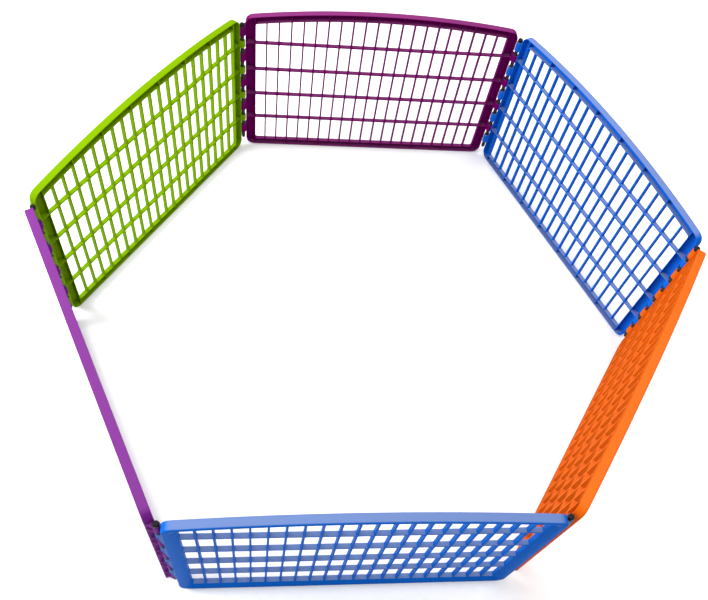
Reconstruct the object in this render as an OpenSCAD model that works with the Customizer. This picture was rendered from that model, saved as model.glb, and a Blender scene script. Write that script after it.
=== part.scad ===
// Six-panel folding playpen.
// Six identical lattice panels stand in a ring and turn on six lift-out hinge rods.
// Frame: millimetres, +Z up, origin on the floor at the centre of the ring.
// The front panel runs along X and faces -Y.

/* [Ring] */
// Distance between the two hinge axes of one panel
hinge_spacing = 925; // [800:1:1050]
// Inside angle of the ring at the front-left and back-right hinges
angle_a = 114.6; // [100:0.1:128]
// Inside angle of the ring at the front-right and back-left hinges
angle_b = 124.7; // [112:0.1:128]

/* [Panel] */
// Height of the panel where its arched top meets the sides
panel_h = 576; // [560:1:600]
// How much higher the arched top is at mid-span
arch_rise = 36; // [20:1:60]
// Depth of the border from its inside face to its outside face
panel_depth = 23.5; // [22:0.5:28]
// Gap between a hinge axis and the side of the panel
axis_gap = 10.5; // [10.5:0.1:12]
// Wall thickness of the moulding
wall = 3; // [2.5:0.1:3.5]
// Radius of the panel's outside corners
corner_r = 30; // [20:1:40]
// Width of the side borders
side_border = 34; // [30:0.5:36]
// Width of the top border
top_border = 28; // [26:0.5:38]
// Height of the bottom border
foot_border = 26; // [24:0.5:30]
// Radius of the corners of the lattice opening
opening_r = 6; // [3:1:8]
// Width of the outside slope that leads from the border's face down to the lattice
slope_w = 20; // [12:0.5:21]

/* [Lattice] */
// Number of upright bars
upright_count = 20; // [14:1:20]
// Hinge axis to the middle of the first upright bar
first_upright = 80; // [75:0.5:90]
// Number of level bars
level_count = 4; // [3:1:4]
// Panel's bottom edge to the middle of the first level bar
first_level = 139.5; // [132:0.5:144]
// Distance between level bars
level_pitch = 112; // [108:0.5:114]
// Thickness of the upright bars
upright_t = 5; // [3:0.1:6]
// Thickness of the level bars
level_t = 5.6; // [3:0.1:7]
// Inside face of the border to the inside face of the bars
bar_inset = 1; // [0.5:0.5:3]
// Depth of the bars, front to back
bar_depth = 13.5; // [10:0.5:15]
// Upright bars from one stiffening rib to the next
rib_every = 3; // [2:1:5]
// Thickness of the stiffening ribs in the border
rib_t = 2.5; // [2:0.1:3]

/* [Hinges] */
// Outside diameter of the hinge rods
rod_d = 13; // [12:0.5:13]
// Wall of the rod's tube
rod_wall = 1.2; // [1:0.1:2]
// Radial clearance between a rod and its knuckles
rod_clearance = 0.1; // [0.05:0.01:0.1]
// Outside diameter of the knuckles
knuckle_d = 19; // [18:0.5:19]
// Height of the knuckles on the panel edge that has five of them
tall_knuckle = 36; // [30:1:40]
// Height of the knuckles on the panel edge that has four of them
short_knuckle = 28; // [20:1:32]
// Thickness of the two fins that carry each knuckle
fin_t = 3; // [2.5:0.1:4]
// How far short of the panel's side the knuckle's web turns away from the inside face
fold_relief = 0.4; // [0.2:0.1:1]
// Diameter of the domed cap on the rod
cap_d = 16; // [15:0.5:18]
// Height of the domed cap above the top knuckle
cap_h = 12.5; // [10:0.5:14]
// Height of the rod's tapered tip above the floor
tip_z = 36; // [20:1:45]

/* [Feet] */
// Thickness of the non-slip pads
pad_t = 2.5; // [2:0.5:4]
// Length of the non-slip pads
pad_l = 70; // [40:1:120]
// Width of the non-slip pads
pad_w = 16; // [10:0.5:18]
// Hinge axis to the middle of the nearest pad
pad_inset = 110; // [90:1:200]

/* [Hidden] */

eps = 1;            // how far a cutter runs past a face
arc_steps = 7;      // straight steps in one rounded corner
arch_steps = 28;    // straight steps in the arched top

// The ring: six equal sides, opposite sides parallel, so its centre is its point of symmetry.
angle_c = 360 - angle_a - angle_b;
function dir(a) = [cos(a), sin(a)];
edge_front = hinge_spacing * dir(0);
edge_right = hinge_spacing * dir(180 - angle_b);
edge_back_right = hinge_spacing * dir(angle_a);
front_left = -(edge_front + edge_right + edge_back_right) / 2;
front_right = front_left + edge_front;
right = front_right + edge_right;
back_right = -front_left;
back_left = -front_right;
left = -right;

// The panel's own frame: x from its left hinge axis to its right one as seen from inside,
// y outwards from the plane of the two axes, z up from its bottom edge.
arch_chord = hinge_spacing - 2 * axis_gap;
arch_r = (arch_chord * arch_chord / 4 + arch_rise * arch_rise) / (2 * arch_rise);
arch_x = hinge_spacing / 2;
arch_z = panel_h + arch_rise - arch_r;
upright_pitch = (hinge_spacing - 2 * first_upright) / (upright_count - 1);
bar_out = bar_inset + bar_depth;
plate_y = panel_depth - wall;

knuckle_r = knuckle_d / 2;
rod_r = rod_d / 2;
level_z = [for (i = [0 : level_count - 1]) first_level + i * level_pitch];
top_knuckle_z = panel_h - 50;
tall_z = concat([(foot_border + level_z[0]) / 2],
                [for (i = [0 : level_count - 2]) (level_z[i] + level_z[i + 1]) / 2],
                [top_knuckle_z]);
rod_top = pad_t + top_knuckle_z + tall_knuckle / 2;

sky_blue = [0.16, 0.46, 0.93];
violet = [0.62, 0.26, 0.78];
lime = [0.50, 0.83, 0.08];
plum = [0.46, 0.07, 0.40];
royal_blue = [0.14, 0.38, 0.95];
orange = [1.0, 0.42, 0.12];
black = [0.05, 0.05, 0.05];
rubber_grey = [0.16, 0.16, 0.17];

// ---------------------------------------------------------------- outlines

// Points of an arc about c, from angle a0 to a1
function arc(c, r, a0, a1, n) = [for (i = [0 : n]) c + r * dir(a0 + (a1 - a0) * i / n)];

// The panel's outline drawn in by the given side, top and foot margins, with corner radius r.
// Its top stays concentric with the arch.
function panel_outline(side, top, foot, r) =
    let (x0 = axis_gap + side,
         x1 = hinge_spacing - x0,
         ra = arch_r - top,
         cz = arch_z + sqrt(pow(ra - r, 2) - pow(arch_x - x0 - r, 2)),
         a = atan2(cz - arch_z, arch_x - x0 - r))
    concat(arc([x0 + r, foot + r], r, 270, 180, arc_steps),
           arc([x0 + r, cz], r, 180, 180 - a, arc_steps),
           arc([arch_x, arch_z], ra, 180 - a, a, arch_steps),
           arc([x1 - r, cz], r, a, 0, arc_steps),
           arc([x1 - r, foot + r], r, 0, -90, arc_steps));

// A slab of the panel between depths y0 and y1, drawn on the panel's face
module slab(y0, y1) {
    translate([0, y1, 0]) rotate([90, 0, 0]) linear_extrude(y1 - y0) children();
}

module outline_slab(y0, y1, side, top, foot, r) {
    slab(y0, y1) polygon(panel_outline(side, top, foot, r));
}

// ---------------------------------------------------------------- panel

// The opening that the lattice fills, drawn in or out by m, between depths y0 and y1
module opening_slab(y0, y1, m = 0) {
    outline_slab(y0, y1, side_border - m, top_border - m, foot_border - m, opening_r + m);
}

// Profile of the outside slope, as distance out from the opening and depth.
// It runs on past the outside face at the same slant.
slope_run = eps * slope_w / (panel_depth - bar_out);
slope_line = [[0, bar_out], [slope_w + slope_run, panel_depth + eps]];

// Everything outside of the slope, over the whole opening
module slope_space() {
    x0 = axis_gap + side_border;
    top_r = arch_r - top_border;
    low_r = top_r - panel_h;
    half_angle = asin(arch_chord / 2 / low_r);
    intersection() {
        linear_extrude(panel_h + arch_rise)
            polygon([[x0 - slope_line[1][0], slope_line[1][1]], [x0, bar_out],
                     [hinge_spacing - x0, bar_out], [hinge_spacing - x0 + slope_line[1][0], slope_line[1][1]]]);
        translate([hinge_spacing, 0, 0]) rotate([0, -90, 0]) linear_extrude(hinge_spacing)
            polygon(concat([for (p = slope_line) [foot_border - p[0], p[1]]],
                           [[panel_h + arch_rise, panel_depth + eps], [panel_h + arch_rise, bar_out]]));
        translate([arch_x, 0, arch_z]) rotate([90, 0, 0]) rotate([0, 0, 90 - half_angle])
            rotate_extrude(angle = 2 * half_angle, $fn = 360)
                polygon(concat([for (p = slope_line) [top_r + p[0], -p[1]]],
                               [[low_r, -panel_depth - eps], [low_r, -bar_out]]));
    }
}

// Border: a tray open to the inside, with a deep rim, an even wall and a lip round the opening
module border() {
    difference() {
        union() {
            difference() {
                outline_slab(0, panel_depth, 0, 0, 0, corner_r);
                outline_slab(-eps, plate_y, wall, wall, wall, corner_r - wall);
            }
            intersection() {
                outline_slab(0, panel_depth, wall / 2, wall / 2, wall / 2, corner_r - wall / 2);
                translate([0, -wall, 0]) slope_space();
            }
            opening_slab(bar_inset, plate_y + eps, wall);
            ribs();
        }
        opening_slab(-eps, panel_depth + eps);
        slope_space();
    }
}

module lattice() {
    intersection() {
        opening_slab(bar_inset, bar_out, wall / 2);
        union() {
            for (i = [0 : upright_count - 1])
                translate([first_upright + i * upright_pitch - upright_t / 2, 0, 0])
                    cube([upright_t, panel_depth, panel_h + arch_rise]);
            for (z = level_z)
                translate([0, 0, z - level_t / 2]) cube([hinge_spacing, panel_depth, level_t]);
        }
    }
}

// Thin ribs across the border's channel, in line with the bars
module ribs() {
    intersection() {
        difference() {
            outline_slab(bar_inset, plate_y + eps, wall / 2, wall / 2, wall / 2, corner_r - wall / 2);
            opening_slab(-eps, panel_depth, wall / 2);
        }
        union() {
            for (i = [rib_every - 1 : rib_every : upright_count - 1])
                translate([first_upright + i * upright_pitch - rib_t / 2, 0, 0])
                    cube([rib_t, panel_depth, panel_h + arch_rise]);
            for (x = [axis_gap + side_border - rib_t, hinge_spacing - axis_gap - side_border])
                translate([x, 0, 0]) cube([rib_t, panel_depth, panel_h + arch_rise]);
            for (z = level_z)
                translate([0, 0, z - rib_t / 2]) cube([hinge_spacing, panel_depth, rib_t]);
        }
    }
}

// Angle at which a line from the point (x, y) touches the knuckle's circle on the given side
function touch(x, y, side) = atan2(y, x) + side * acos(knuckle_r / norm([x, y]));

// One hinge knuckle on the axis x = 0, reaching to a panel side at x = axis_gap.
// A barrel, a web along the inside face and two fins that reach to the outside face.
// The web leaves the inside face just short of the panel's side, so that a panel folded flat
// against this one clears it.
module knuckle(z, h) {
    reach = axis_gap + wall / 2;
    relief_x = axis_gap - fold_relief;
    fin_y = panel_depth - 1;
    fin_touch = knuckle_r * dir(touch(reach, fin_y, 1));
    web_touch = knuckle_r * dir(touch(relief_x, 0, -1));
    translate([0, 0, z - h / 2]) {
        cylinder(h = h, r = knuckle_r, $fn = 64);
        linear_extrude(h)
            polygon([web_touch, [relief_x, 0], [reach, 0], [reach, knuckle_r / 2], [0, knuckle_r / 2]]);
        for (dz = [0, h - fin_t])
            translate([0, 0, dz]) linear_extrude(fin_t)
                polygon([[0, 0], web_touch, [relief_x, 0], [reach, 0], [reach, fin_y], fin_touch]);
    }
}

module knuckles() {
    for (z = tall_z) knuckle(z, tall_knuckle);
    translate([hinge_spacing, 0, 0]) mirror([1, 0, 0])
        for (z = level_z) knuckle(z, short_knuckle);
}

module play_panel() {
    difference() {
        union() {
            border();
            lattice();
            knuckles();
        }
        for (x = [0, hinge_spacing])
            translate([x, 0, -eps])
                cylinder(h = panel_h, r = rod_r + rod_clearance, $fn = 64);
    }
}

// ---------------------------------------------------------------- rods and pads

// Steel tube that the knuckles turn on
module hinge_rod() {
    z0 = tip_z + rod_d;
    translate([0, 0, z0]) difference() {
        cylinder(h = rod_top - z0, r = rod_r, $fn = 64);
        translate([0, 0, -eps]) cylinder(h = rod_top - z0 + 2 * eps, r = rod_r - rod_wall, $fn = 64);
    }
}

// Round spigot that plugs into the end of the rod's tube
module spigot(z, h) {
    translate([0, 0, z]) cylinder(h = h, r = rod_r - rod_wall - 0.05, $fn = 64);
}

// Domed cap that rests on the top knuckle and is the finger grip for lifting the rod out
module rod_cap() {
    r = cap_d / 2;
    edge = r * 0.62;
    translate([0, 0, rod_top]) rotate_extrude($fn = 64)
        polygon(concat([[0, 0], [r - 1, 0], [r, 1]],
                       [for (i = [0 : 6])
                           let (a = 90 * i / 6)
                           [r - edge + edge * cos(a), cap_h - edge + edge * sin(a)]],
                       [[0, cap_h]]));
    spigot(rod_top - 18, 18.5);
}

// Tapered end that finds its way down through the knuckles
module rod_tip() {
    z0 = tip_z + rod_d;
    translate([0, 0, tip_z]) rotate_extrude($fn = 64)
        polygon([[0, 0], [rod_r * 0.5, 0], [rod_r * 0.72, rod_d * 0.12], [rod_r * 0.97, rod_d * 0.7],
                 [rod_r * 0.97, rod_d], [0, rod_d]]);
    spigot(z0 - 0.5, 18.5);
}

// Two rubber pads under the bottom edge of one panel
module pad_pair() {
    for (x = [pad_inset, hinge_spacing - pad_inset])
        translate([x, panel_depth / 2, 0]) {
            translate([-(pad_l - pad_w) / 2, -pad_w / 2, 0]) cube([pad_l - pad_w, pad_w, pad_t]);
            for (s = [-1, 1])
                translate([s * (pad_l - pad_w) / 2, 0, 0]) cylinder(h = pad_t, d = pad_w, $fn = 48);
        }
}

// ---------------------------------------------------------------- places in the ring

// Puts a panel's own frame between two hinge axes, its left one first as seen from inside
module between(p, q) {
    d = q - p;
    translate([p[0], p[1], 0]) rotate([0, 0, atan2(d[1], d[0])]) children();
}

module panel_between(p, q) { between(p, q) translate([0, 0, pad_t]) play_panel(); }
module pads_between(p, q) { between(p, q) pad_pair(); }
module at(p) { translate([p[0], p[1], 0]) children(); }

module panel_front() { color(sky_blue) panel_between(front_right, front_left); }
module panel_left() { color(violet) panel_between(front_left, left); }
module panel_back_left() { color(lime) panel_between(left, back_left); }
module panel_back() { color(plum) panel_between(back_left, back_right); }
module panel_back_right() { color(royal_blue) panel_between(back_right, right); }
module panel_right() { color(orange) panel_between(right, front_right); }

module rod_front_left() { color(black) at(front_left) hinge_rod(); }
module rod_left() { color(black) at(left) hinge_rod(); }
module rod_back_left() { color(black) at(back_left) hinge_rod(); }
module rod_back_right() { color(black) at(back_right) hinge_rod(); }
module rod_right() { color(black) at(right) hinge_rod(); }
module rod_front_right() { color(black) at(front_right) hinge_rod(); }

module cap_front_left() { color(black) at(front_left) rod_cap(); }
module cap_left() { color(black) at(left) rod_cap(); }
module cap_back_left() { color(black) at(back_left) rod_cap(); }
module cap_back_right() { color(black) at(back_right) rod_cap(); }
module cap_right() { color(black) at(right) rod_cap(); }
module cap_front_right() { color(black) at(front_right) rod_cap(); }

module tip_front_left() { color(black) at(front_left) rod_tip(); }
module tip_left() { color(black) at(left) rod_tip(); }
module tip_back_left() { color(black) at(back_left) rod_tip(); }
module tip_back_right() { color(black) at(back_right) rod_tip(); }
module tip_right() { color(black) at(right) rod_tip(); }
module tip_front_right() { color(black) at(front_right) rod_tip(); }

module pads_front() { color(rubber_grey) pads_between(front_right, front_left); }
module pads_left() { color(rubber_grey) pads_between(front_left, left); }
module pads_back_left() { color(rubber_grey) pads_between(left, back_left); }
module pads_back() { color(rubber_grey) pads_between(back_left, back_right); }
module pads_back_right() { color(rubber_grey) pads_between(back_right, right); }
module pads_right() { color(rubber_grey) pads_between(right, front_right); }

panel_front();
panel_left();
panel_back_left();
panel_back();
panel_back_right();
panel_right();
rod_front_left();
rod_left();
rod_back_left();
rod_back_right();
rod_right();
rod_front_right();
cap_front_left();
cap_left();
cap_back_left();
cap_back_right();
cap_right();
cap_front_right();
tip_front_left();
tip_left();
tip_back_left();
tip_back_right();
tip_right();
tip_front_right();
pads_front();
pads_left();
pads_back_left();
pads_back();
pads_back_right();
pads_right();
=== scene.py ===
"""Six-panel folding playpen: finished mouldings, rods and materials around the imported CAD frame.

Metres, in the CAD frame: +Z up, origin on the floor at the centre of the ring, front panel
facing -Y. A panel is first made in its own frame: x from its left hinge axis to its right one
as seen from inside, y outwards from the plane of the two axes, z up from its bottom edge.
"""
import math

import bmesh
import bpy
from mathutils import Matrix, Vector


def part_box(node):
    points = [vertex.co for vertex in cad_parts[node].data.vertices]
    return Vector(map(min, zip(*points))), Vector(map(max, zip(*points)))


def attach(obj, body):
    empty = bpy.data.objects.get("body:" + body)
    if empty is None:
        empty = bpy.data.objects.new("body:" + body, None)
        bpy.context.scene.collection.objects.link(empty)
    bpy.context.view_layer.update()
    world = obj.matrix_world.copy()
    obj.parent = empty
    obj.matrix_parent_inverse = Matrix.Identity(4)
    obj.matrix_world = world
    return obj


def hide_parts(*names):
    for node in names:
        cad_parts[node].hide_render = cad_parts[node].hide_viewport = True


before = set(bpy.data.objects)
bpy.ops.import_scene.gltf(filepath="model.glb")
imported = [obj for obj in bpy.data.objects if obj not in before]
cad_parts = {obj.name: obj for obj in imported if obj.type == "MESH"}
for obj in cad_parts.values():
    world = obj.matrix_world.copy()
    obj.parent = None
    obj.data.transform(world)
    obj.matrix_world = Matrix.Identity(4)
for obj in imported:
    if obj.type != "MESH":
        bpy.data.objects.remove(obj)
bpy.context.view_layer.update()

# ------------------------------------------------------------------ dimensions

MM = 0.001

# Panels, each with its left and its right hinge axis as seen from inside
PANELS = {
    "front": ("front_right", "front_left"),
    "left": ("front_left", "left"),
    "back_left": ("left", "back_left"),
    "back": ("back_left", "back_right"),
    "back_right": ("back_right", "right"),
    "right": ("right", "front_right"),
}
RODS = ("front_left", "left", "back_left", "back_right", "right", "front_right")


def middle(node):
    low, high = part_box(node)
    return (low + high) / 2


def flat(point):
    return Vector((point.x, point.y, 0))


AXES = {name: flat(middle("rod_" + name)) for name in RODS}
SPACING = (AXES["front_right"] - AXES["front_left"]).length
PANEL_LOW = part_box("panel_front")[0].z
PANEL_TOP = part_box("panel_front")[1].z - PANEL_LOW
ROD_LOW, ROD_HIGH = (corner.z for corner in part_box("rod_left"))
CAP_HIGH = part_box("cap_left")[1].z
TIP_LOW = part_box("tip_left")[0].z

DEPTH = 23.5 * MM
AXIS_GAP = 10.5 * MM
WALL = 3 * MM
CORNER_R = 30 * MM
ARCH_RISE = 36 * MM
SIDE_BORDER = 34 * MM
TOP_BORDER = 28 * MM
FOOT_BORDER = 26 * MM
CORNER_STEPS = 6
ARCH_STEPS = 30
OPENING_R = 6 * MM
SLOPE_W = 20 * MM
SLOPE_POWER = 1.7
SLOPE_BANDS = 7
OUTER_ROUND = 4.5 * MM
EDGE = 1 * MM
SLIVER = 0.02 * MM

UPRIGHTS = 20
FIRST_UPRIGHT = 80 * MM
UPRIGHT_T = 5 * MM
LEVEL_T = 5.6 * MM
LEVELS = [(139.5 + 112 * i) * MM for i in range(4)]
BAR_IN = 1 * MM
BAR_OUT = 14.5 * MM
BAR_ROUND = 1.1 * MM
CELL_R = 1.4 * MM
RIB_EVERY = 3
RIB_T = 2.5 * MM
THIN_EDGE = 0.5 * MM

KNUCKLE_R = 9.5 * MM
KNUCKLE_EDGE = 1.2 * MM
BORE_R = 6.6 * MM
TALL_KNUCKLE = 36 * MM
SHORT_KNUCKLE = 28 * MM
TOP_KNUCKLE_DROP = 50 * MM
WEB_EDGE = 0.6 * MM
FIN_T = 3 * MM
FIN_INSET = 1 * MM
FOLD_RELIEF = 0.4 * MM

ROD_R = 6.5 * MM
ROD_WALL = 1.2 * MM
ROD_EDGE = 0.3 * MM
SPIGOT_R = ROD_R - 1.25 * MM
SPIGOT_L = 18 * MM
SPIGOT_EDGE = 0.8 * MM
AXIS_HOLE_R = 0.3 * MM
CAP_R = 8 * MM
CAP_DOME = CAP_R * 0.62
ROUND_STEPS = 48

PAD_L = 70 * MM
PAD_W = 16 * MM
PAD_T = PANEL_LOW
PAD_INSET = 110 * MM
PAD_EDGE = 0.6 * MM

PLATE_IN = DEPTH - WALL
ARCH_CHORD = SPACING - 2 * AXIS_GAP
ARCH_R = (ARCH_CHORD**2 / 4 + ARCH_RISE**2) / (2 * ARCH_RISE)
ARCH_X = SPACING / 2
ARCH_Z = PANEL_TOP - ARCH_R
UPRIGHT_X = [
    FIRST_UPRIGHT + (SPACING - 2 * FIRST_UPRIGHT) * i / (UPRIGHTS - 1)
    for i in range(UPRIGHTS)
]
LEVEL_GAPS = [(a + b) / 2 for a, b in zip([FOOT_BORDER, *LEVELS], LEVELS)]
TALL_Z = [*LEVEL_GAPS, PANEL_TOP - ARCH_RISE - TOP_KNUCKLE_DROP]

# ------------------------------------------------------------------ outlines


def arc(cx, cy, r, start, end, steps):
    """Points from angle start to angle end, in degrees, about (cx, cy)."""
    turns = [math.radians(start + (end - start) * i / steps) for i in range(steps + 1)]
    return [(cx + r * math.cos(t), cy + r * math.sin(t)) for t in turns]


def panel_outline(side, top, foot, r):
    """The panel's outline drawn in by these margins, with corner radius r and an arched top."""
    x0 = AXIS_GAP + side
    x1 = SPACING - x0
    ra = ARCH_R - top
    reach = ARCH_X - x0 - r
    cz = ARCH_Z + math.sqrt((ra - r) ** 2 - reach**2)
    a = math.degrees(math.atan2(cz - ARCH_Z, reach))
    return [
        *arc(x0 + r, foot + r, r, 270, 180, CORNER_STEPS),
        *arc(x0 + r, cz, r, 180, 180 - a, CORNER_STEPS),
        *arc(ARCH_X, ARCH_Z, ra, 180 - a, a, ARCH_STEPS)[1:-1],
        *arc(x1 - r, cz, r, a, 0, CORNER_STEPS),
        *arc(x1 - r, foot + r, r, 0, -90, CORNER_STEPS),
    ]


def edge_ring(margin, y):
    """Outline at a distance in from the panel's edge, at depth y."""
    ring = panel_outline(margin, margin, margin, CORNER_R - margin)
    return [(x, y, z) for x, z in ring]


def opening_ring(out, y):
    """Outline at a distance out from the lattice opening, at depth y."""
    margins = (SIDE_BORDER - out, TOP_BORDER - out, FOOT_BORDER - out)
    return [(x, y, z) for x, z in panel_outline(*margins, OPENING_R + out)]


def opening_top(x):
    """Height of the opening's arched top edge at x."""
    return ARCH_Z + math.sqrt((ARCH_R - TOP_BORDER) ** 2 - (x - ARCH_X) ** 2)


def rim_inner_top(x):
    """Height of the middle of the arched rim wall at x."""
    return ARCH_Z + math.sqrt((ARCH_R - WALL / 2) ** 2 - (x - ARCH_X) ** 2)


def inset(points, d):
    """A convex polygon drawn in by d on every side."""
    area = sum(a[0] * b[1] - b[0] * a[1] for a, b in zip(points, points[1:] + points[:1]))
    sign = 1 if area > 0 else -1
    lines = []
    for a, b in zip(points, points[1:] + points[:1]):
        dx, dy = b[0] - a[0], b[1] - a[1]
        length = math.hypot(dx, dy)
        nx, ny = -dy / length * sign, dx / length * sign
        lines.append((nx, ny, nx * a[0] + ny * a[1] + d))
    moved = []
    for p, q in zip(lines[-1:] + lines[:-1], lines):
        det = p[0] * q[1] - p[1] * q[0]
        moved.append(((p[2] * q[1] - q[2] * p[1]) / det, (p[0] * q[2] - q[0] * p[2]) / det))
    return moved


def fillet(points, radii, steps):
    """A convex polygon with each corner rounded to its radius, in the given number of steps."""
    rounded = []
    befores, afters = points[-1:] + points[:-1], points[1:] + points[:1]
    for prev, p, after, r, n in zip(befores, points, afters, radii, steps):
        to_prev = (Vector(prev) - Vector(p)).normalized()
        to_next = (Vector(after) - Vector(p)).normalized()
        half = to_prev.angle(to_next) / 2
        bisector = (to_prev + to_next).normalized()
        centre = Vector(p) + bisector * (r / math.sin(half))
        first = Vector(p) + to_prev * (r / math.tan(half)) - centre
        last = Vector(p) + to_next * (r / math.tan(half)) - centre
        sweep = first.angle_signed(last)
        for i in range(n + 1):
            rounded.append(tuple(centre + Matrix.Rotation(-sweep * i / n, 2) @ first))
    return rounded


# ------------------------------------------------------------------ solids


def join_loops(bm, a, b):
    """A band of four-sided faces between two loops of vertices."""
    for i in range(len(a)):
        j = (i + 1) % len(a)
        bm.faces.new((a[i], a[j], b[j], b[i]))


def ring_solid(bm, rings):
    """One closed solid: rings of points joined in turn, with a flat face over each end."""
    loops = [[bm.verts.new(p) for p in ring] for ring in rings]
    for a, b in zip(loops, loops[1:]):
        join_loops(bm, a, b)
    bm.faces.new(loops[0][::-1])
    bm.faces.new(loops[-1])


QUARTER = [(1 - math.sin(t), 1 - math.cos(t)) for t in (0, math.pi / 4, math.pi / 2)]


def rounded_slab(bm, polygon, low, high, edge, place):
    """A convex polygon extruded from low to high, with its end edges rounded.

    place makes the 3D point from the polygon's two coordinates and the level.
    """
    levels = [(low + edge * up, edge * across) for across, up in QUARTER]
    levels += [(high - edge * up, edge * across) for across, up in reversed(QUARTER)]
    rings = []
    for level, across in levels:
        ring = inset(polygon, across) if across > 0 else polygon
        rings.append([place(u, v, level) for u, v in ring])
    ring_solid(bm, rings)


def in_plan(u, v, w):
    """A polygon drawn in plan, extruded upwards."""
    return (u, v, w)


def turned(r, z):
    """Points round the axis at radius r and height z."""
    turns = [2 * math.pi * i / ROUND_STEPS for i in range(ROUND_STEPS)]
    return [(r * math.cos(t), r * math.sin(t), z) for t in turns]


def lathe(bm, profile):
    """A turned solid: profile is (radius, height) from the bottom of the axis to its top."""
    ring_solid(bm, [turned(r, z) for r, z in profile])


def temporary(build):
    """A helper object whose mesh the build function fills."""
    bm = bmesh.new()
    build(bm)
    bmesh.ops.recalc_face_normals(bm, faces=bm.faces)
    mesh = bpy.data.meshes.new("work")
    bm.to_mesh(mesh)
    bm.free()
    obj = bpy.data.objects.new("work", mesh)
    bpy.context.scene.collection.objects.link(obj)
    return obj


def combine(target, operation, build):
    """Joins the solid that build makes to target, or cuts it from target."""
    tool = temporary(build)
    modifier = target.modifiers.new("combine", "BOOLEAN")
    modifier.operation = operation
    modifier.solver = "MANIFOLD"
    modifier.object = tool
    depsgraph = bpy.context.evaluated_depsgraph_get()
    mesh = bpy.data.meshes.new_from_object(target.evaluated_get(depsgraph))
    target.modifiers.clear()
    target.data = mesh
    bpy.data.objects.remove(tool)


# ------------------------------------------------------------------ panel

SLOPE_STEPS = [SLOPE_W * i / SLOPE_BANDS for i in range(SLOPE_BANDS + 1)]


def slope_y(out):
    """Depth of the border's outside face at a distance out from the opening."""
    return BAR_OUT + (DEPTH - BAR_OUT) * (1 - max(0.0, 1 - out / SLOPE_W) ** SLOPE_POWER)


def tray(bm):
    """The border and a thick plate across its opening: a loft from outside face to inside."""
    rings = [opening_ring(out, slope_y(out)) for out in SLOPE_STEPS]
    for turn in (0, 22.5, 45, 67.5, 90):
        t = math.radians(turn)
        lean = (1 - math.sin(t), 1 - math.cos(t))
        rings.append(edge_ring(OUTER_ROUND * lean[0], DEPTH - OUTER_ROUND * lean[1]))
    half = EDGE * (1 - math.sqrt(0.5))
    rings += [
        edge_ring(0, EDGE), edge_ring(half, half), edge_ring(EDGE, 0),
        edge_ring(WALL - EDGE, 0), edge_ring(WALL - half, half), edge_ring(WALL, EDGE),
        edge_ring(WALL, PLATE_IN - EDGE), edge_ring(WALL + half, PLATE_IN - half),
        edge_ring(WALL + EDGE, PLATE_IN),
    ]
    lip = WALL + EDGE
    behind = [out for out in reversed(SLOPE_STEPS) if out > lip + EDGE] + [lip]
    rings += [opening_ring(out, slope_y(out) - WALL) for out in behind]
    rings += [
        opening_ring(WALL, slope_y(lip) - WALL - EDGE), opening_ring(WALL, BAR_IN + EDGE),
        opening_ring(WALL - half, BAR_IN + half), opening_ring(WALL - EDGE, BAR_IN),
    ]
    ring_solid(bm, rings)


def cell_rings(x0, x1, z0, z1, borders):
    """One lattice cell's cutter, flared at both faces so that the bars' edges come out rounded.

    z1 is None where the arch closes the cell.
    borders says which of the left, right, foot and top sides are the border.
    """
    corner_is_border = [
        borders[0] and borders[2], borders[1] and borders[2],
        borders[1] and borders[3], borders[0] and borders[3],
    ]
    slack = 0.1 * MM
    levels = [(BAR_IN - 2 * EDGE, BAR_ROUND, BAR_ROUND)]
    for across, up in QUARTER:
        levels.append((BAR_IN + BAR_ROUND * up, BAR_ROUND * across, BAR_ROUND * across))
    for across, up in reversed(QUARTER):
        levels.append((BAR_OUT - BAR_ROUND * up, BAR_ROUND * across, 0))
    levels.append((DEPTH + EDGE, BAR_ROUND, 0))
    rings = []
    for y, bar_flare, border_flare in levels:
        grow = [slack + border_flare if b else bar_flare for b in borders]
        xa, xb = x0 - grow[0], x1 + grow[1]
        za = z0 - grow[2]
        top_a, top_b = (opening_top(xa), opening_top(xb)) if z1 is None else (z1, z1)
        corners = [(xa, za), (xb, za), (xb, top_b + grow[3]), (xa, top_a + grow[3])]
        wide, narrow = OPENING_R + min(bar_flare, border_flare), CELL_R + bar_flare
        radii = [wide if c else narrow for c in corner_is_border]
        steps = [5 if c else 2 for c in corner_is_border]
        rings.append([(u, y, v) for u, v in fillet(corners, radii, steps)])
    return rings


def cells(bm):
    half_u, half_l = UPRIGHT_T / 2, LEVEL_T / 2
    left = AXIS_GAP + SIDE_BORDER
    xs = [left, *(x for u in UPRIGHT_X for x in (u - half_u, u + half_u)), SPACING - left]
    zs = [FOOT_BORDER, *(z for level in LEVELS for z in (level - half_l, level + half_l)), None]
    columns, rows = list(zip(xs[::2], xs[1::2])), list(zip(zs[::2], zs[1::2]))
    for i, (x0, x1) in enumerate(columns):
        for j, (z0, z1) in enumerate(rows):
            borders = (i == 0, i == len(columns) - 1, j == 0, j == len(rows) - 1)
            ring_solid(bm, cell_rings(x0, x1, z0, z1, borders))


def rib(bm, width, low, place):
    """One rib across a border of this width, under its slope.

    place takes the distance out from the opening, the depth, and the distance along the rib's
    thickness.
    """
    out, last = WALL / 2, width - WALL / 2
    polygon = [(out, BAR_IN), (last, BAR_IN), (last, PLATE_IN + WALL / 2)]
    polygon += [(d, slope_y(d) - WALL / 2) for d in (SLOPE_W, 0.6 * SLOPE_W, 0.3 * SLOPE_W, out)]
    rounded_slab(bm, polygon, low, low + RIB_T, THIN_EDGE, place)


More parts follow.
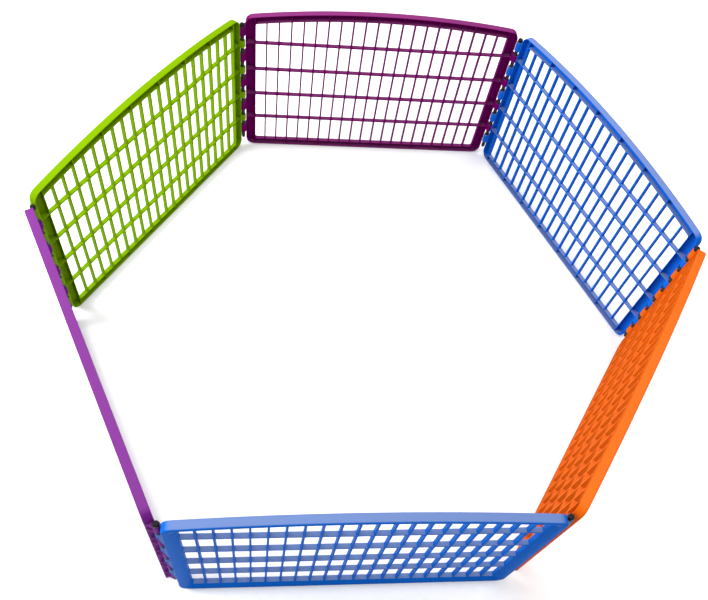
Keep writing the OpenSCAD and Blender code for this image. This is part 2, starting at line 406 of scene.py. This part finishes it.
def ribs(bm):
    """Thin ribs across the border's channel, in line with the bars."""
    half = RIB_T / 2
    side_edge = AXIS_GAP + SIDE_BORDER
    xs = [u - half for u in UPRIGHT_X[RIB_EVERY - 1::RIB_EVERY]]
    xs += [side_edge - RIB_T, SPACING - side_edge]
    for x in xs:
        middle_x = min(max(x + half, side_edge + OPENING_R), SPACING - side_edge - OPENING_R)
        base = opening_top(middle_x)
        rim = rim_inner_top(x + half) - base + WALL / 2
        rib(bm, FOOT_BORDER, x, lambda out, y, w: (w, y, FOOT_BORDER - out))
        rib(bm, rim, x, lambda out, y, w, base=base: (w, y, base + out))
    for z in LEVELS:
        rib(bm, SIDE_BORDER, z - half, lambda out, y, w: (side_edge - out, y, w))
        rib(bm, SIDE_BORDER, z - half, lambda out, y, w: (SPACING - side_edge + out, y, w))


def touch(x, y, side):
    """Point where a line from (x, y) touches the knuckle's circle, on the given side."""
    turn = math.atan2(y, x) + side * math.acos(KNUCKLE_R / math.hypot(x, y))
    return (KNUCKLE_R * math.cos(turn), KNUCKLE_R * math.sin(turn))


def knuckle_rows():
    """Every knuckle: its axis's x, the way its panel lies, its middle's height, and its length."""
    at_left = [(0, 1, z, TALL_KNUCKLE) for z in TALL_Z]
    at_right = [(SPACING, -1, z, SHORT_KNUCKLE) for z in LEVELS]
    return at_left + at_right


def from_axis(x, way):
    """Places a polygon drawn in plan at a hinge axis, turned towards its panel."""
    def place(u, v, w):
        return (x + way * u, v, w)
    return place


def barrels(bm):
    for x, way, z, h in knuckle_rows():
        circle = arc(0, 0, KNUCKLE_R, 0, 360, ROUND_STEPS)[:-1]
        rounded_slab(bm, circle, z - h / 2, z + h / 2, KNUCKLE_EDGE, from_axis(x, way))


def webs(bm):
    """The web that joins each barrel to the panel's side along the inside face."""
    reach, relief = AXIS_GAP + WALL / 2, AXIS_GAP - FOLD_RELIEF
    polygon = [
        touch(relief, 0, -1), (relief, 0),
        (reach, 0), (reach, KNUCKLE_R / 2), (0, KNUCKLE_R / 2),
    ]
    for x, way, z, h in knuckle_rows():
        rounded_slab(bm, polygon, z - h / 2, z + h / 2, WEB_EDGE, from_axis(x, way))


def fins(bm):
    """Two fins at each knuckle, which reach to the outside face."""
    reach, relief = AXIS_GAP + WALL / 2, AXIS_GAP - FOLD_RELIEF
    fin_y = DEPTH - FIN_INSET
    polygon = [
        (0, 0), touch(relief, 0, -1), (relief, 0),
        (reach, 0), (reach, fin_y), touch(reach, fin_y, 1),
    ]
    for x, way, z, h in knuckle_rows():
        for low in (z - h / 2, z + h / 2 - FIN_T):
            rounded_slab(bm, polygon, low, low + FIN_T, THIN_EDGE, from_axis(x, way))


def bores(bm):
    for x in (0, SPACING):
        circle = [(x + u, v) for u, v in arc(0, 0, BORE_R, 0, 360, ROUND_STEPS)[:-1]]
        ring_solid(bm, [[(u, v, z) for u, v in circle] for z in (0, PANEL_TOP)])


def without_slivers(mesh):
    """Merges the tiny edges that the cuts leave behind."""
    bm = bmesh.new()
    bm.from_mesh(mesh)
    bmesh.ops.dissolve_degenerate(bm, dist=SLIVER, edges=bm.edges)
    bm.to_mesh(mesh)
    bm.free()
    return mesh


def panel_mesh():
    """The whole moulding in the panel's own frame, as one closed surface."""
    panel = temporary(tray)
    combine(panel, "DIFFERENCE", cells)
    for build in (ribs, barrels, webs, fins):
        combine(panel, "UNION", build)
    combine(panel, "DIFFERENCE", bores)
    mesh = panel.data
    bpy.data.objects.remove(panel)
    return without_slivers(mesh)


# ------------------------------------------------------------------ materials


class Nodes:
    """Short names for building a node tree."""

    def __init__(self, name):
        self.material = bpy.data.materials.new(name)
        self.material.use_nodes = True
        self.tree = self.material.node_tree
        self.shader = self.tree.nodes["Principled BSDF"]

    def add(self, kind, inputs=None, **settings):
        node = self.tree.nodes.new(kind)
        for key, value in settings.items():
            setattr(node, key, value)
        for key, value in (inputs or {}).items():
            self.put(node.inputs[key], value)
        return node

    def product(self, a, b):
        return self.add("ShaderNodeMath", {0: a, 1: b}, operation="MULTIPLY").outputs[0]

    def put(self, socket, value):
        """Links another node's output to a socket, or sets the socket's own value."""
        if isinstance(value, bpy.types.NodeSocket):
            self.tree.links.new(value, socket)
        else:
            socket.default_value = value

    def set(self, **values):
        for key, value in values.items():
            self.put(self.shader.inputs[key.replace("_", " ")], value)

    def noise(self, scale, detail=2.0, stretch=None):
        where = self.add("ShaderNodeTexCoord").outputs["Object"]
        if stretch:
            mapping = {"Vector": where, "Scale": stretch}
            where = self.add("ShaderNodeMapping", mapping).outputs["Vector"]
        inputs = {"Vector": where, "Scale": scale, "Detail": detail}
        return self.add("ShaderNodeTexNoise", inputs).outputs["Fac"]

    def spread(self, value, low, high, to_low, to_high):
        """Maps low..high to to_low..to_high, clamped at both ends."""
        inputs = {
            "Value": value, "From Min": low, "From Max": high, "To Min": to_low, "To Max": to_high,
        }
        return self.add("ShaderNodeMapRange", inputs).outputs["Result"]

    def mix(self, factor, a, b):
        return self.add("ShaderNodeMix", {0: factor, 6: a, 7: b}, data_type="RGBA").outputs[2]

    def edges(self, radius):
        """1 along convex and concave edges within radius, 0 on flat faces."""
        rounded = self.add("ShaderNodeBevel", {"Radius": radius}, samples=4).outputs["Normal"]
        true = self.add("ShaderNodeNewGeometry").outputs["Normal"]
        dot = self.add("ShaderNodeVectorMath", {0: rounded, 1: true}, operation="DOT_PRODUCT")
        return self.spread(dot.outputs["Value"], 0.995, 0.8, 0.0, 1.0)

    def bump(self, height, distance, strength, normal=None):
        inputs = {"Height": height, "Distance": distance, "Strength": strength}
        if normal:
            inputs["Normal"] = normal
        return self.add("ShaderNodeBump", inputs).outputs["Normal"]


BLACK = (0.006, 0.006, 0.007)


def rgba(colour, gain=1.0, lift=0.0):
    return (*(min(1.0, c * gain + lift) for c in colour), 1.0)


def moulded_plastic(name, colour, painted_sheen, sheen_share):
    """Satin injection-moulded plastic: mottled pigment, fine grain, paler rubbed edges.

    A painted sheen, of its own colour, lightens part of what faces up: painted light from
    overhead.
    """
    n = Nodes(name)
    pigment = n.mix(n.noise(9, 3), rgba(colour, 0.90), rgba(colour, 1.08))
    rubbed = n.spread(n.noise(38, 4), 0.42, 0.75, 0.0, 1.0)
    wear = n.product(n.product(n.edges(1.2 * MM), rubbed), 0.15)
    worn = n.mix(wear, pigment, rgba(colour, 0.9, 0.08))
    # Painted sheen: faces that look up are mixed towards the sheen colour, painted light from
    # overhead
    normal = n.add("ShaderNodeNewGeometry").outputs["Normal"]
    upward = n.add("ShaderNodeSeparateXYZ", {0: normal}).outputs["Z"]
    colour_out = n.mix(n.spread(upward, 0.75, 1.0, 0.0, sheen_share), worn, rgba(painted_sheen))
    scuffs = n.noise(5, 5, stretch=(60, 60, 8))
    rough = n.spread(scuffs, 0.3, 0.75, 0.27, 0.42)
    sink = n.bump(n.noise(22, 1), 0.5 * MM, 0.25)
    grain = n.bump(n.noise(1600, 1), 0.06 * MM, 0.5, sink)
    n.set(Base_Color=colour_out, Roughness=rough, Normal=grain)
    n.set(IOR=1.49, Specular_IOR_Level=0.004)
    return n.material


def coated_steel(name):
    """Black powder coat: fine orange peel and a slight grey rub where the knuckles turn."""
    n = Nodes(name)
    base = n.mix(n.noise(30, 4), rgba(BLACK, 0.8), rgba(BLACK, 1.6))
    rubbed = n.spread(n.noise(14, 3, stretch=(1, 1, 9)), 0.55, 0.75, 0.0, 0.35)
    colour = n.mix(rubbed, base, rgba(BLACK, 3.0, 0.02))
    rough = n.spread(n.noise(60, 3), 0.3, 0.7, 0.24, 0.4)
    peel = n.bump(n.noise(700, 2), 0.1 * MM, 0.5)
    n.set(Base_Color=colour, Roughness=rough, Normal=peel, Specular_IOR_Level=0.15)
    return n.material


def black_nylon(name):
    """Black moulded end fittings: satin, with fine grain and slightly grey edges."""
    n = Nodes(name)
    base = n.mix(n.noise(80, 3), rgba(BLACK, 0.8), rgba(BLACK, 1.4))
    colour = n.mix(n.spread(n.edges(0.8 * MM), 0, 1, 0, 0.3), base, rgba(BLACK, 3.5, 0.01))
    rough = n.spread(n.noise(90, 3), 0.3, 0.7, 0.26, 0.42)
    grain = n.bump(n.noise(1500, 1), 0.05 * MM, 0.6)
    n.set(Base_Color=colour, Roughness=rough, Normal=grain, Specular_IOR_Level=0.1)
    return n.material


def pad_rubber(name):
    """Matt rubber with a dusty bloom."""
    n = Nodes(name)
    dark = (0.035, 0.035, 0.037)
    colour = n.mix(n.spread(n.noise(120, 4), 0.4, 0.7, 0, 1), rgba(dark), rgba(dark, 1.6, 0.02))
    rough = n.spread(n.noise(200, 3), 0.3, 0.7, 0.7, 0.9)
    grain = n.bump(n.noise(2500, 2), 0.08 * MM, 0.8)
    n.set(Base_Color=colour, Roughness=rough, Normal=grain)
    return n.material


# Each panel's pigment, the painted sheen on its level faces (painted light from overhead), both in
# linear light, and the sheen's share
PLASTICS = {
    "front": ((0.0035, 0.094, 0.430), (0.40, 0.35, 0.05), 0.25),
    "left": ((0.130, 0.012, 0.172), (0.60, 0.58, 0.50), 0.03),
    "back_left": ((0.140, 0.270, 0.001), (0.60, 0.58, 0.50), 0.0),
    "back": ((0.130, 0.001, 0.090), (0.90, 0.50, 0.75), 0.045),
    "back_right": ((0.005, 0.100, 0.500), (0.40, 0.35, 0.05), 0.29),
    "right": ((0.590, 0.096, 0.004), (0.60, 0.58, 0.50), 0.015),
}

# ------------------------------------------------------------------ pieces


def add_piece(name, mesh, body, node, slot, material):
    piece = bpy.data.objects.new(name, mesh)
    bpy.context.scene.collection.objects.link(piece)
    mesh.materials.clear()
    mesh.materials.append(material)
    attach(piece, body)
    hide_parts(node)
    return piece


def smooth(mesh, angle=42):
    mesh.shade_smooth()
    mesh.set_sharp_from_angle(angle=math.radians(angle))


def between(left, right):
    """Places a panel's own frame between two hinge axes, on the floor."""
    along = right - left
    return Matrix.Translation(left) @ Matrix.Rotation(math.atan2(along.y, along.x), 4, "Z")


def add_panels():
    master = panel_mesh()
    smooth(master)
    for name, (left, right) in PANELS.items():
        mesh = master.copy()
        mesh.transform(between(AXES[left], AXES[right]) @ Matrix.Translation((0, 0, PANEL_LOW)))
        plastic = name + "_plastic"
        material = moulded_plastic(plastic, *PLASTICS[name])
        piece = add_piece(
            name + "_panel_moulding", mesh, name + "_panel", "panel_" + name, plastic, material)
        weighted = piece.modifiers.new("even_normals", "WEIGHTED_NORMAL")
        weighted.keep_sharp = True


def mesh_from(build):
    obj = temporary(build)
    mesh = obj.data
    bpy.data.objects.remove(obj)
    return mesh


def tube(bm):
    """Open steel tube with broken edges."""
    outer, inner, edge = ROD_R, ROD_R - ROD_WALL, ROD_EDGE
    profile = [
        (inner, ROD_LOW + edge), (inner + edge, ROD_LOW),
        (outer - edge, ROD_LOW), (outer, ROD_LOW + edge),
        (outer, ROD_HIGH - edge), (outer - edge, ROD_HIGH),
        (inner + edge, ROD_HIGH), (inner, ROD_HIGH - edge),
    ]
    loops = [[bm.verts.new(p) for p in turned(r, z)] for r, z in profile]
    for a, b in zip(loops, loops[1:] + loops[:1]):
        join_loops(bm, a, b)


def cap(bm):
    """Domed head with a rounded rim, on a spigot that plugs into the tube."""
    z, low, rim = ROD_HIGH, ROD_HIGH - SPIGOT_L, 0.3 * EDGE
    profile = [
        (AXIS_HOLE_R, low), (SPIGOT_R - SPIGOT_EDGE, low), (SPIGOT_R, low + SPIGOT_EDGE),
        (SPIGOT_R, z), (CAP_R - EDGE, z), (CAP_R - rim, z + rim), (CAP_R, z + EDGE),
    ]
    for angle in range(0, 90, 10):
        t = math.radians(angle)
        in_from_rim, down_from_top = CAP_DOME * (1 - math.cos(t)), CAP_DOME * (1 - math.sin(t))
        profile.append((CAP_R - in_from_rim, CAP_HIGH - down_from_top))
    profile.append((AXIS_HOLE_R, CAP_HIGH))
    lathe(bm, profile)


def tip(bm):
    """Tapered lead-in at the bottom of the rod, on a spigot."""
    z, length, top = TIP_LOW, ROD_LOW - TIP_LOW, ROD_LOW + SPIGOT_L
    # Shares of the rod's radius and of the tip's height: a blunt end, then a swelling taper
    shares = [(0.42, 0), (0.54, 0.03), (0.66, 0.08)]
    for angle in range(15, 91, 15):
        shares.append((0.66 + 0.31 * math.sin(math.radians(angle)), 0.08 + 0.62 * angle / 90))
    shares.append((0.97, 1))
    profile = [(AXIS_HOLE_R, z), *((r * ROD_R, z + up * length) for r, up in shares)]
    profile += [(SPIGOT_R, ROD_LOW), (SPIGOT_R, top - SPIGOT_EDGE), (SPIGOT_R - SPIGOT_EDGE, top)]
    profile.append((AXIS_HOLE_R, top))
    lathe(bm, profile)


def add_rods():
    steel = coated_steel("black_powder_coat")
    nylon = black_nylon("black_nylon")
    for kind, build, slot, material in (
        ("rod", tube, "rod_steel", steel),
        ("cap", cap, "rod_end_plastic", nylon),
        ("tip", tip, "rod_end_plastic", nylon),
    ):
        master = mesh_from(build)
        smooth(master)
        for name in RODS:
            mesh = master.copy()
            mesh.transform(Matrix.Translation(AXES[name]))
            piece, node = f"{name}_hinge_{kind}", f"{kind}_{name}"
            add_piece(piece, mesh, name + "_rod", node, slot, material)


def pad_pair(bm):
    """Two rubber pads with rounded ends and edges."""
    reach, r = (PAD_L - PAD_W) / 2, PAD_W / 2
    ends = arc(reach, 0, r, -90, 90, 16) + arc(-reach, 0, r, 90, 270, 16)
    for x in (PAD_INSET, SPACING - PAD_INSET):
        outline = [(x + u, DEPTH / 2 + v) for u, v in ends]
        rounded_slab(bm, outline, 0, PAD_T, PAD_EDGE, in_plan)


def add_pads():
    rubber = pad_rubber("pad_rubber")
    master = mesh_from(pad_pair)
    smooth(master)
    for name, (left, right) in PANELS.items():
        mesh = master.copy()
        mesh.transform(between(AXES[left], AXES[right]))
        piece = name + "_floor_pads"
        add_piece(piece, mesh, name + "_panel", "pads_" + name, "pad_rubber", rubber)


# ------------------------------------------------------------------ camera and stage


def add_camera():
    """Looks down at the middle of the ring, from the front and slightly left, with some roll."""
    target = Vector((-0.0016, 0.1082, 0.0))
    azimuth, elevation, roll = (math.radians(a) for a in (-12.810, 57.888, 11.837))
    distance = 2.6900
    flat_part = math.cos(elevation)
    back_x, back_y = math.sin(azimuth) * flat_part, -math.cos(azimuth) * flat_part
    back = Vector((back_x, back_y, math.sin(elevation)))
    level = (-back).cross(Vector((0, 0, 1))).normalized()
    rise = level.cross(-back)
    right = level * math.cos(roll) + rise * math.sin(roll)
    up = rise * math.cos(roll) - level * math.sin(roll)
    data = bpy.data.cameras.new("camera")
    data.lens = 40.10
    data.sensor_width = 36
    camera = bpy.data.objects.new("camera", data)
    facing = Matrix((right, up, back)).transposed().to_4x4()
    camera.matrix_world = Matrix.Translation(target + back * distance) @ facing
    bpy.context.scene.collection.objects.link(camera)
    bpy.context.scene.camera = camera


def add_light(name, place, aim, size, power):
    """A rectangular soft light of this size and power in watts, pointed at aim."""
    data = bpy.data.lights.new(name, "AREA")
    data.shape = "RECTANGLE"
    data.size, data.size_y = size
    data.energy = power
    light = bpy.data.objects.new(name, data)
    light.location = place
    light.rotation_mode = "QUATERNION"
    light.rotation_quaternion = (Vector(aim) - Vector(place)).to_track_quat("-Z", "Y")
    bpy.context.scene.collection.objects.link(light)


def add_stage():
    """A plain pale floor and soft studio light."""
    def square(bm):
        bmesh.ops.create_grid(bm, x_segments=1, y_segments=1, size=30)
    floor = bpy.data.objects.new("floor", mesh_from(square))
    paper = Nodes("white_floor")
    shade = paper.mix(paper.noise(3, 2), (0.83, 0.83, 0.83, 1), (0.87, 0.87, 0.87, 1))
    paper.set(Base_Color=shade, Roughness=0.9, Specular_IOR_Level=0.1)
    floor.data.materials.append(paper.material)
    bpy.context.scene.collection.objects.link(floor)
    world = bpy.data.worlds.new("studio")
    world.use_nodes = True
    background = world.node_tree.nodes["Background"]
    background.inputs["Color"].default_value = (1, 1, 1, 1)
    background.inputs["Strength"].default_value = 0.38
    bpy.context.scene.world = world
    add_light(
        "softbox_overhead", place=(0, 0.4, 4.5), aim=(0, 0.4, 0), size=(7.5, 8.0), power=465)
    add_light(
        "softbox_left", place=(-3.8, 0.6, 2.3), aim=(0, 0.1, 0.3), size=(2.6, 2.2), power=240)
    bpy.context.scene.view_settings.view_transform = "Standard"


add_camera()
add_stage()
add_panels()
add_rods()
add_pads()
